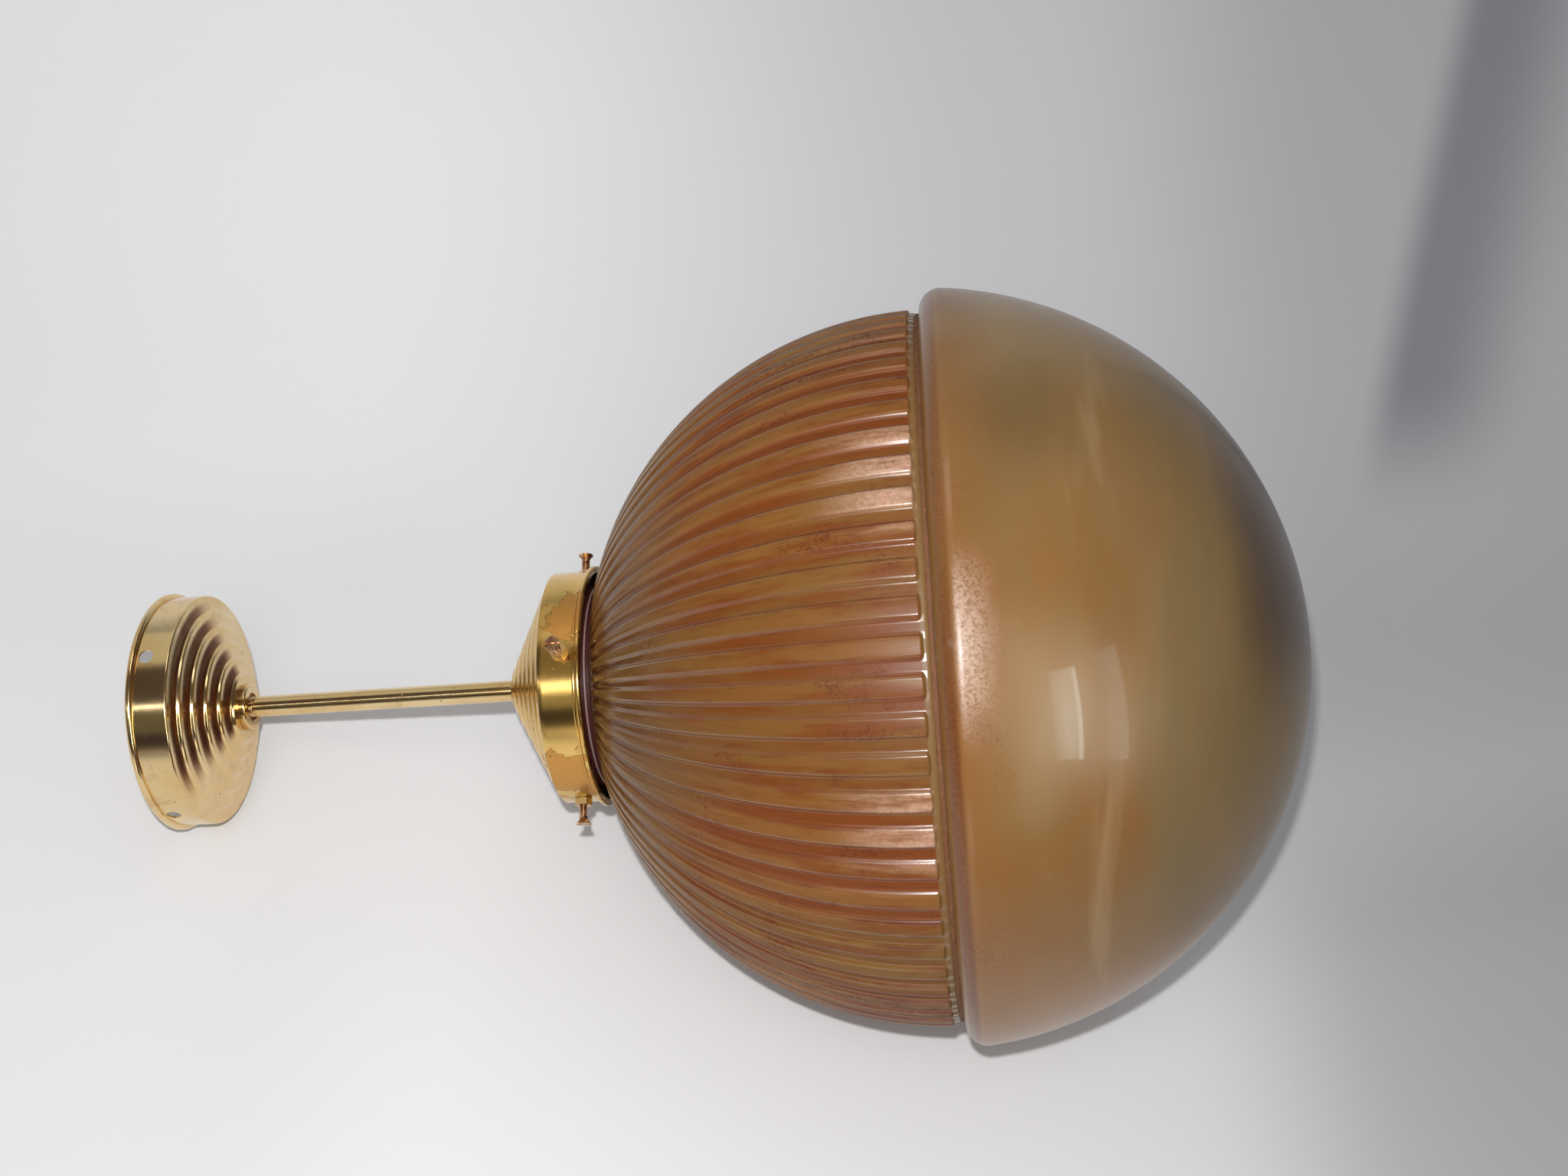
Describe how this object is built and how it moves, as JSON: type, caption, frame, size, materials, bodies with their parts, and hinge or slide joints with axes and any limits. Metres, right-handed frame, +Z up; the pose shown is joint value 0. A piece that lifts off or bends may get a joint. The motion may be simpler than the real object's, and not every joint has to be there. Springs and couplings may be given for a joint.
{
  "type": "pendant light",
  "caption": "Pendant light: stepped brass canopy, tube stem and shade gallery with radial screws holding a two-part glass globe, ribbed above and smooth below.",
  "frame": {"origin": "centre of the canopy's open rim, in the plane that meets the ceiling", "axes": "+Z up along the stem, as the light hangs; +X and +Y level, with the shade screws 20 degrees round from them"},
  "size_m": [0.3477, 0.3478, 0.5392],
  "materials": {
    "polished_brass": "polished, lightly spotted",
    "tarnished_brass": "polished, with orange-brown tarnish patches",
    "copper_brown_brass": "worn, copper-brown",
    "steel": "dull zinc-grey",
    "copper": "bright pressed copper",
    "terminal_brass": "plain machined",
    "amber_glass": "amber and copper tint, streaked patina on the ribs",
    "smoky_glass": "smooth tan and olive-brown tint, fine speckle",
    "cement": "dark, matt",
    "porcelain": "white glaze"
  },
  "bodies": {
    "lamp": {"canopy": "polished_brass", "canopy_boss": "polished_brass", "canopy_washer": "steel", "canopy_lock_nut": "steel", "stem_tube": "polished_brass", "gallery": "tarnished_brass", "gallery_washer": "steel", "gallery_lock_nut": "steel", "screw_nuts": "polished_brass", "reflector_glass": "amber_glass", "cement_ring": "cement", "bowl_glass": "smoky_glass", "holder_ring_nut": "polished_brass", "entry_bush": "polished_brass", "holder_cap": "porcelain", "holder_body": "porcelain", "screw_shell": "copper", "live_terminal": "terminal_brass", "neutral_terminal": "terminal_brass", "terminal_screws": "steel", "contact_rivets": "copper", "holder_screws": "steel"},
    "screw_1": {"shade_screw_1": "copper_brown_brass"},
    "screw_2": {"shade_screw_2": "copper_brown_brass"},
    "screw_3": {"shade_screw_3": "copper_brown_brass"},
    "screw_4": {"shade_screw_4": "copper_brown_brass"},
    "contact_tongue": {"centre_contact": "copper"}
  },
  "joints": [
    {"name": "screw_1_travel", "type": "slide", "parent": "lamp", "child": "screw_1", "axis": [0.9397, 0.342, 0], "range_m": [0, 0.0065]},
    {"name": "screw_2_travel", "type": "slide", "parent": "lamp", "child": "screw_2", "axis": [-0.342, 0.9397, 0], "range_m": [0, 0.0065]},
    {"name": "screw_3_travel", "type": "slide", "parent": "lamp", "child": "screw_3", "axis": [-0.9397, -0.342, 0], "range_m": [0, 0.0065]},
    {"name": "screw_4_travel", "type": "slide", "parent": "lamp", "child": "screw_4", "axis": [0.342, -0.9397, 0], "range_m": [0, 0.0065]},
    {"name": "contact_flex", "type": "hinge", "parent": "lamp", "child": "contact_tongue", "pos_m": [0.0068, 0, -0.21825], "axis": [0, 1, 0], "range_deg": [0, 6], "stiffness_Nm_per_rad": 0.3}
  ]
}
